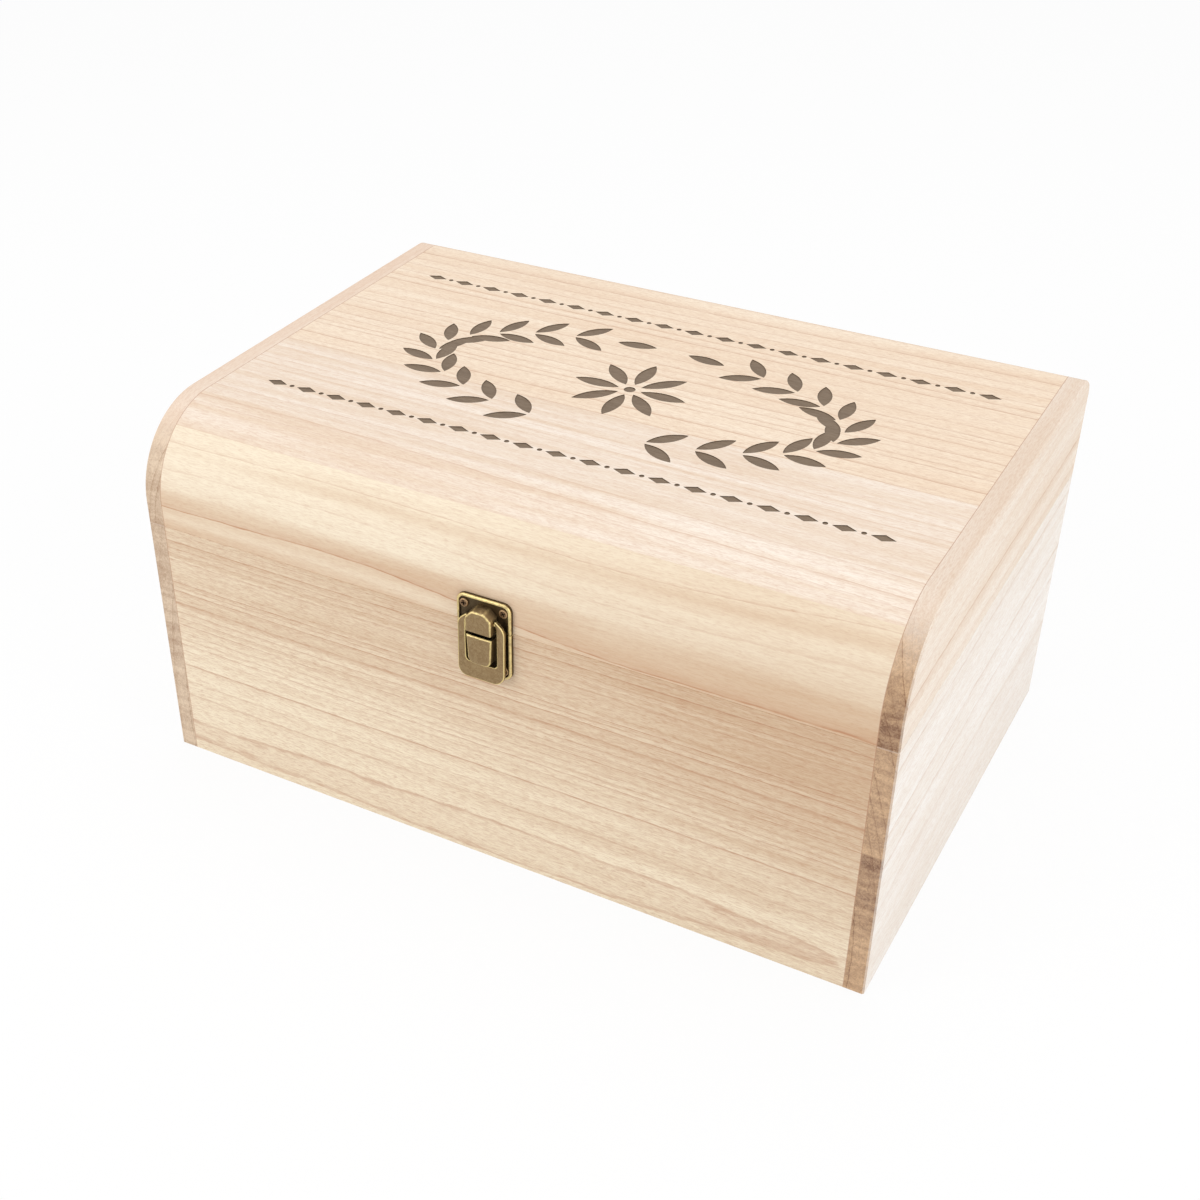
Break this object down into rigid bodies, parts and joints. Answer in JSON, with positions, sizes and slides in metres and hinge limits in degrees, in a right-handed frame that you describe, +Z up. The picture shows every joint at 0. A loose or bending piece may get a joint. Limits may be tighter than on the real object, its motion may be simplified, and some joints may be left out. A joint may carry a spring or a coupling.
{
  "type": "keepsake box",
  "caption": "Wooden keepsake box with a rounded-front hinged lid, butt hinges behind and a bronze ring catch in front.",
  "frame": {"origin": "middle of the underside, between the end panels and between the front and back faces of the boards", "axes": "+X to the right along the width, -Y towards the front with the catch, +Z up"},
  "size_m": [0.4, 0.2879, 0.2],
  "materials": {
    "long_board_wood": "sanded, unfinished pale paulownia, grain along the width",
    "end_panel_wood": "sanded, unfinished pale paulownia, grain from front to back",
    "bottom_plywood": "sanded plywood",
    "antique_bronze": "antiqued, with bright worn edges",
    "screw_bronze": "antiqued screw heads"
  },
  "bodies": {
    "base": {"base_front_board": "long_board_wood", "base_back_board": "long_board_wood", "base_left_end": "end_panel_wood", "base_right_end": "end_panel_wood", "base_bottom_panel": "bottom_plywood", "left_hinge_base_leaf": "antique_bronze", "left_hinge_pin": "antique_bronze", "left_hinge_base_screws": "screw_bronze", "right_hinge_base_leaf": "antique_bronze", "right_hinge_pin": "antique_bronze", "right_hinge_base_screws": "screw_bronze", "keeper_plate": "antique_bronze", "keeper_screws": "screw_bronze"},
    "lid": {"lid_front_board": "long_board_wood", "lid_top_strip": "long_board_wood", "lid_top_board": "long_board_wood", "lid_back_board": "long_board_wood", "lid_left_end": "end_panel_wood", "lid_right_end": "end_panel_wood", "left_hinge_lid_leaf": "antique_bronze", "left_hinge_lid_screws": "screw_bronze", "right_hinge_lid_leaf": "antique_bronze", "right_hinge_lid_screws": "screw_bronze", "catch_plate": "antique_bronze", "catch_screws": "screw_bronze"},
    "ring": {"latch_ring": "antique_bronze"}
  },
  "joints": [
    {"name": "lid_hinge", "type": "hinge", "parent": "base", "child": "lid", "pos_m": [0, 0.1402, 0.142], "axis": [-1, 0, 0], "range_deg": [0, 180]},
    {"name": "ring_pivot", "type": "hinge", "parent": "lid", "child": "ring", "pos_m": [0, -0.1413, 0.1471], "axis": [-1, 0, 0], "range_deg": [0, 180]}
  ]
}
